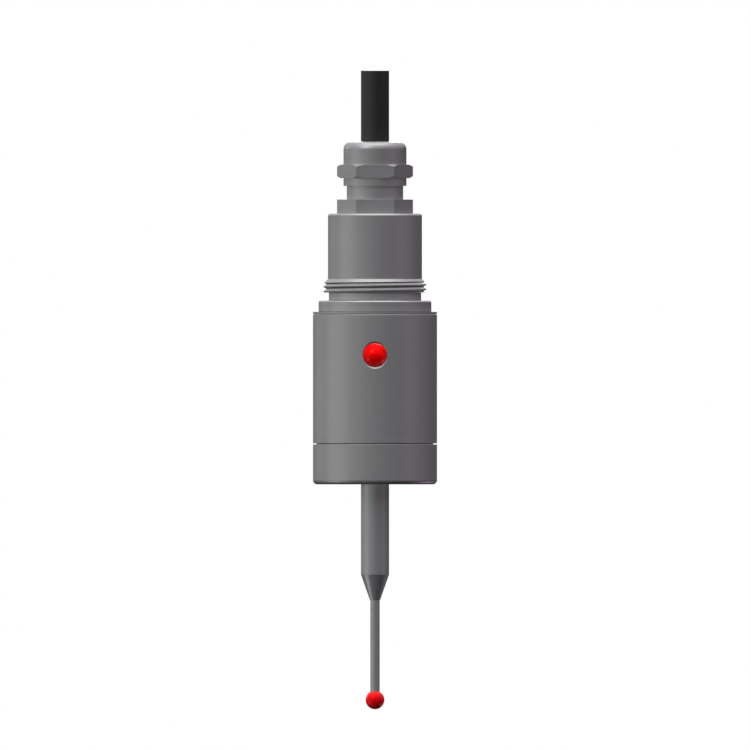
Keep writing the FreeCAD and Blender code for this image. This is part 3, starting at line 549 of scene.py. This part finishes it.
def makeDiaphragm(look):
    low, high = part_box("seal_diaphragm")
    rimTop = high[2] / millimetre
    rimLow = rimTop - look["rimHeightMm"]
    rimOuter = high[0] / millimetre
    rimInner = rimOuter - look["rimWidthMm"]
    webOuter = rimInner - look["rimFoldMm"]
    webTop = rimTop - look["webDropMm"]
    collarLow = low[2] / millimetre
    collarTop = collarLow + look["collarHeightMm"]
    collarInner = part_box("stylus_holder")[1][0] / millimetre + look["holderRoomMm"]
    collarOuter = collarInner + look["collarWallMm"]
    webFoot = collarLow + look["webFootMm"]
    edge = look["collarEdgeMm"]

    def webPoint(share):
        # The web's upper face: a falling cone with one shallow fold, always lower further in.
        fold = look["foldMm"] * math.sin(2 * math.pi * share) / (2 * math.pi)
        return webOuter + (collarOuter - webOuter) * share, webTop + (webFoot - webTop) * share - fold

    rim = addObject("diaphragmRim", latheMesh("diaphragmRim", [
        (rimOuter, rimLow),
        (rimOuter, rimTop),
        (rimInner, rimTop),
        (webOuter, webTop),
        (webOuter, webTop - look["sheetMm"]),
        (rimInner, rimLow),
    ], look["steps"], look["sharpAngle"]), "black_rubber", "probe_body")
    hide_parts("seal_diaphragm")
    for number, (upper, lower, first, last) in enumerate((
        ("probe_body", "centre_plunger", 0.0, look["liftShare"]),
        ("centre_plunger", "pivot_ball", look["liftShare"], look["firstTiltShare"]),
        ("pivot_ball", "stylus", look["firstTiltShare"], 1.0),
    )):
        shares = [first + (last - first) * step / look["rings"] for step in range(look["rings"] + 1)]
        top = [webPoint(share) for share in shares]
        foot = [(r, z - look["sheetMm"]) for r, z in reversed(top)]
        name = "diaphragmWeb%d" % (number + 1)
        mesh = latheMesh(name, top + foot, look["steps"], look["webSharpAngle"])
        web = addObject(name, mesh, "black_rubber", None)
        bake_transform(web)
        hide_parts("seal_diaphragm")
    collar = addObject("diaphragmCollar", latheMesh("diaphragmCollar", [
        (collarInner, collarLow),
        (collarOuter - edge, collarLow),
        (collarOuter, collarLow + edge),
        (collarOuter, collarTop - edge),
        (collarOuter - edge, collarTop),
        (collarInner, collarTop),
    ], look["steps"], look["sharpAngle"]), "black_rubber", "stylus")
    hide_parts("seal_diaphragm")


makeDiaphragm(diaphragmLook)
print("stage: diaphragm made")

# Springs: round wire wound about the axis. Both coils stay with the body, and the last turn of the
# large one is made as two more pieces that stay where they are built.
springLook = {
    "preloadWireMm": 0.8,
    "preloadTurns": 4,
    "plungerWireMm": 0.35,
    "plungerTurns": 5,
    "sides": 14,
    "stepsPerTurn": 56,
    "sharpAngle": 50,
}


def turnHeight(box, wireMm, turns, turn):
    # The height of the wire's middle, this many turns from the spring's foot.
    low, high = box
    half = wireMm * millimetre / 2
    return low[2] + half + (high[2] - low[2] - 2 * half) / turns * turn


def makeWire(name, box, wireMm, turns, first, last, look):
    # A closed tube along a helix in the spring's box, from one turn to another as counted from its foot.
    half = wireMm * millimetre / 2
    radius = box[1][0] - half
    mesh = bpy.data.meshes.new(name)
    built = bmesh.new()
    rings = []
    steps = round((last - first) * look["stepsPerTurn"])
    for step in range(steps + 1):
        turn = first + (last - first) * step / steps
        angle = 2 * math.pi * turn
        middle = turnHeight(box, wireMm, turns, turn)
        ring = []
        for side in range(look["sides"]):
            around = 2 * math.pi * side / look["sides"]
            reach = radius + half * math.cos(around)
            height = middle + half * math.sin(around)
            ring.append(built.verts.new((reach * math.cos(angle), reach * math.sin(angle), height)))
        rings.append(ring)
    for here, there in zip(rings, rings[1:]):
        for side in range(look["sides"]):
            after = (side + 1) % look["sides"]
            built.faces.new((here[side], there[side], there[after], here[after]))
    built.faces.new(rings[0])
    built.faces.new(rings[-1])
    bmesh.ops.recalc_face_normals(built, faces=built.faces)
    built.to_mesh(mesh)
    built.free()
    mesh.set_sharp_from_angle(angle=math.radians(look["sharpAngle"]))
    return mesh


def makeSprings(look):
    for name, node, wireMm, turns, first in (
        ("plungerCoil", "plunger_spring", look["plungerWireMm"], look["plungerTurns"], 0),
        ("preloadCoil", "preload_spring", look["preloadWireMm"], look["preloadTurns"], 1),
    ):
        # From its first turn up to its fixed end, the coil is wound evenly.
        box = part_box(node)
        mesh = makeWire(name, box, wireMm, turns, first, turns, look)
        piece = addObject(name, mesh, "spring_steel", "probe_body")
        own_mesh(piece)
        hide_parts(node)
    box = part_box("preload_spring")
    wireMm, turns = look["preloadWireMm"], look["preloadTurns"]
    for name, first, last, upper, lower in (
        ("preloadLean1", 0.5, 1.0, "centre_plunger", "pivot_ball"),
        ("preloadLean2", 0.0, 0.5, "pivot_ball", "stylus"),
    ):
        mesh = makeWire(name, box, wireMm, turns, first, last, look)
        piece = addObject(name, mesh, "spring_steel", None)
        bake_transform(piece)
        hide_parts("preload_spring")


makeSprings(springLook)
print("stage: springs made")

# Strands: the bare copper at the cut end of each core, seen from above. Six lie around a seventh
strandLook = {
    "cores": 4,
    "coreCircleMm": 1.0,
    "coreTurn": 45,
    "around": 6,
    "circleMm": 0.26,
    "twist": 11,
    "diameterMm": 0.2,
    "proudMm": 0.1,
    "sunkMm": 0.3,
    "shorterMm": 0.012,  # each strand than the one before
    "sides": 16,
    "sharpAngle": 40,
}


def makeStrands(look):
    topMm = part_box("cable_core_1")[1][2] / millimetre
    radius = look["diameterMm"] / 2 * millimetre
    for core in range(look["cores"]):
        mesh = bpy.data.meshes.new("coreStrands%d" % (core + 1))
        built = bmesh.new()
        turn = math.radians(look["coreTurn"] + 360 / look["cores"] * core)
        centreX = look["coreCircleMm"] * math.cos(turn)
        centreY = look["coreCircleMm"] * math.sin(turn)
        for strand in range(look["around"] + 1):
            angle = math.radians(360 / look["around"] * strand + look["twist"] * core)
            reach = look["circleMm"] if strand < look["around"] else 0
            length = look["proudMm"] + look["sunkMm"] - look["shorterMm"] * strand
            added = bmesh.ops.create_cone(
                built, cap_ends=True, segments=look["sides"], radius1=radius, radius2=radius,
                depth=length * millimetre,
            )
            place = Vector((
                (centreX + reach * math.cos(angle)) * millimetre,
                (centreY + reach * math.sin(angle)) * millimetre,
                (topMm - look["sunkMm"] + length / 2) * millimetre,
            ))
            bmesh.ops.translate(built, verts=added["verts"], vec=place)
        built.to_mesh(mesh)
        built.free()
        mesh.set_sharp_from_angle(angle=math.radians(look["sharpAngle"]))
        addObject(mesh.name, mesh, "strand_copper", "probe_body")


makeStrands(strandLook)
print("stage: strands made")

# Stage: a pale floor just under the ball
stageLook = {
    "floorSize": 3.0,
    "floorDrop": 0.002,
}


def makeFloor(look):
    floorMesh = bpy.data.meshes.new("floor")
    half = look["floorSize"] / 2
    corners = [(-half, -half, 0), (half, -half, 0), (half, half, 0), (-half, half, 0)]
    floorMesh.from_pydata(corners, [], [(0, 1, 2, 3)])
    floor = bpy.data.objects.new("floor", floorMesh)
    scene.collection.objects.link(floor)
    floorMesh.materials.append(materials["stage_paper"])
    floor.location.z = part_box("stylus_ball")[0][2] - look["floorDrop"]
    # The photo's undersides are dark, so the metal mirrors the dim surroundings and not this paper.
    floor.visible_glossy = False
    floor.visible_diffuse = False


makeFloor(stageLook)

# Lights: each is far off, as a soft box is for so small an object, so it falls alike on every height.
# Azimuths are from the camera's side, negative to its left; elevations are above the horizon.
# "power" is in watts a square metre, and "spread" is the angle that the soft box fills.
lightLooks = {
    "roofLight": {"azimuth": 0, "elevation": 88, "power": 2.40, "spread": 150, "colour": "fff7fe"},
    "topLight": {"azimuth": 0, "elevation": 88, "power": 2.45, "spread": 60, "colour": "fcfffb"},
    "keyLight": {"azimuth": -39, "elevation": 35, "power": 1.12, "spread": 18, "colour": "f8fffb"},
    "leftLight": {"azimuth": -65, "elevation": 0, "power": 0.148, "spread": 18, "colour": "ffffff"},
    "sideLight": {"azimuth": -88, "elevation": 0, "power": 0.158, "spread": 18, "colour": "ffffff"},
    "leftFill": {"azimuth": -85, "elevation": -30, "power": 0.453, "spread": 18, "colour": "ffffff"},
    "leftRim": {"azimuth": -130, "elevation": 10, "power": 0.208, "spread": 18, "colour": "ffffff"},
    "rightLight": {"azimuth": 70, "elevation": 0, "power": 0.087, "spread": 18, "colour": "f6d5ff"},
    "rightFill": {"azimuth": 98, "elevation": 0, "power": 0.042, "spread": 18, "colour": "ffc8fa"},
    "rightRim": {"azimuth": 130, "elevation": -30, "power": 0.313, "spread": 18, "colour": "f8dcff"},
    "backLight": {"azimuth": 178, "elevation": 25, "power": 1.2, "spread": 18, "colour": "ffffff"},
}


def makeLight(name, look):
    light = bpy.data.lights.new(name, "SUN")
    light.energy = look["power"]
    light.angle = math.radians(look["spread"])
    light.color = linear(look["colour"])[:3]
    # The photo shows no piece's shadow on another, so the lights cast none.
    light.use_shadow = False
    holder = bpy.data.objects.new(name, light)
    scene.collection.objects.link(holder)
    turn, rise = math.radians(look["azimuth"]), math.radians(look["elevation"])
    away = Vector((math.sin(turn) * math.cos(rise), -math.cos(turn) * math.cos(rise), math.sin(rise)))
    holder.rotation_euler = (-away).to_track_quat("-Z", "Y").to_euler()


for name, look in lightLooks.items():
    makeLight(name, look)

# Surroundings: white to the camera, and for the surfaces a dim sky that is a little lighter above
worldLook = {
    "above": "181818",
    "horizon": "0e0e0e",
    "below": "0a0a0a",
    "seen": "ffffff",
    "risesBy": 0.25,
}


def makeWorld(look):
    world = bpy.data.worlds.new("surroundings")
    world.use_nodes = True
    tree = world.node_tree
    tree.nodes.clear()
    coordinates = addNode(tree, "ShaderNodeTexCoord")
    parts = addNode(tree, "ShaderNodeSeparateXYZ", inputs={"Vector": coordinates.outputs["Generated"]})
    level = addNode(tree, "ShaderNodeMapRange", inputs={
        "Value": parts.outputs["Z"],
        "From Min": -look["risesBy"],
        "From Max": look["risesBy"],
    })
    ramp = addNode(tree, "ShaderNodeValToRGB", inputs={"Fac": level})
    stops = ramp.color_ramp.elements
    stops[0].position, stops[0].color = 0.0, linear(look["below"])
    stops[1].position, stops[1].color = 1.0, linear(look["above"])
    middle = stops.new(0.5)
    middle.color = linear(look["horizon"])
    lit = addNode(tree, "ShaderNodeBackground", inputs={"Color": ramp})
    seen = addNode(tree, "ShaderNodeBackground", inputs={"Color": linear(look["seen"])})
    path = addNode(tree, "ShaderNodeLightPath")
    mixed = addNode(tree, "ShaderNodeMixShader", inputs={
        0: path.outputs["Is Camera Ray"],
        1: lit,
        2: seen,
    })
    addNode(tree, "ShaderNodeOutputWorld", inputs={"Surface": mixed})
    scene.world = world


makeWorld(worldLook)
scene.view_settings.view_transform = "Standard"
scene.view_settings.look = "None"

# Camera: the photo is a straight side view with no perspective
cameraLook = {
    "widthMm": 159.57,
    "centreZMm": -15.83,
    "distance": 0.7,
    "nearest": 0.01,
    "farthest": 10,
}


def makeCamera(look):
    data = bpy.data.cameras.new("camera")
    data.type = "ORTHO"
    data.ortho_scale = look["widthMm"] * millimetre
    data.clip_start = look["nearest"]
    data.clip_end = look["farthest"]
    camera = bpy.data.objects.new("camera", data)
    scene.collection.objects.link(camera)
    camera.location = (0, -look["distance"], look["centreZMm"] * millimetre)
    camera.rotation_euler = (math.radians(90), 0, 0)
    scene.camera = camera


makeCamera(cameraLook)
print("stage: lights and camera made")
